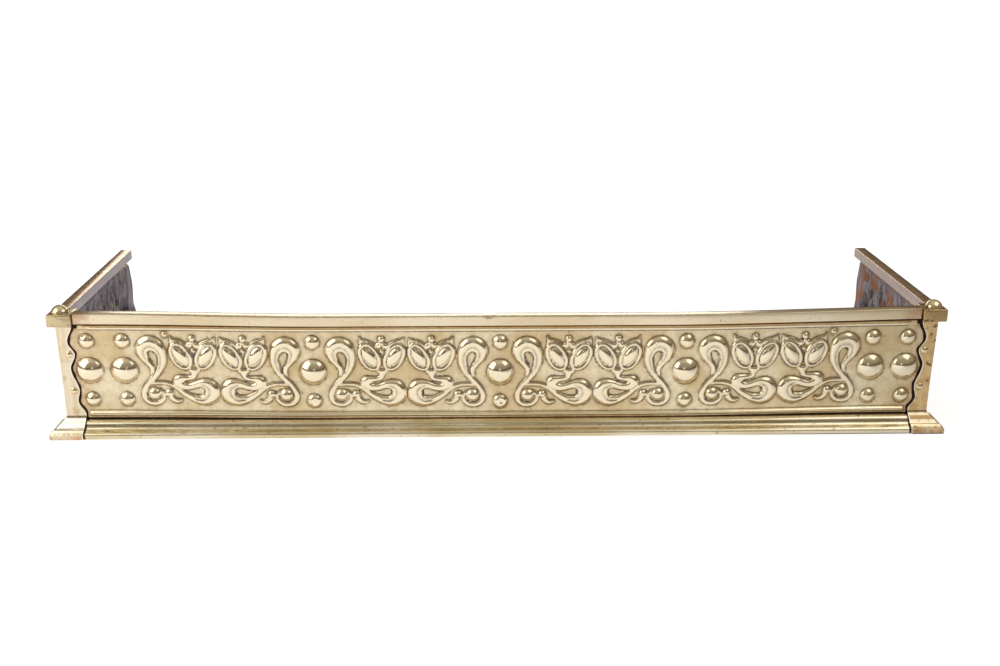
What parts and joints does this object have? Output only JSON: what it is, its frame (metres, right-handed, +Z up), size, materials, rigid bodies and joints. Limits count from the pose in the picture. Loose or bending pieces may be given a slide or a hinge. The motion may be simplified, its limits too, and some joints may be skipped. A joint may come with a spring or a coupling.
{
  "type": "fire fender",
  "caption": "Pressed brass fire fender: a U-shaped hearth surround with bosses and scrollwork, a square top rail, capped corners and a moulded plinth.",
  "frame": {"origin": "on the hearth, under the middle of the fender's outline", "axes": "+X along the front towards its right end as seen from the room, +Y from the front back to the chimney breast, +Z up"},
  "size_m": [1.35, 0.392, 0.2025],
  "materials": {
    "pressed_brass": "aged polished pressed sheet",
    "rail_brass": "polished tube, slightly pink",
    "moulded_brass": "polished, lightly tarnished",
    "iron": "dark bare iron"
  },
  "bodies": {
    "root": {"front_panel": "pressed_brass", "side_panel_left": "pressed_brass", "side_panel_right": "pressed_brass", "front_rail": "rail_brass", "side_rail_left": "rail_brass", "side_rail_right": "rail_brass", "plinth_front": "moulded_brass", "plinth_left": "moulded_brass", "plinth_right": "moulded_brass", "corner_strap_left": "moulded_brass", "corner_strap_right": "moulded_brass", "corner_cap_left": "moulded_brass", "corner_cap_right": "moulded_brass", "dome_nut_left": "moulded_brass", "dome_nut_right": "moulded_brass", "tie_rod_left": "iron", "tie_rod_right": "iron", "strap_rivets_left": "moulded_brass", "strap_rivets_right": "moulded_brass", "panel_fixings": "moulded_brass", "base_bar_front": "iron", "base_bar_left": "iron", "base_bar_right": "iron", "corner_plate_left": "iron", "corner_plate_right": "iron", "corner_angle_left": "iron", "corner_angle_right": "iron", "plate_screws": "iron", "base_bolts": "iron", "base_nuts": "iron", "plinth_screws": "iron"}
  },
  "joints": []
}
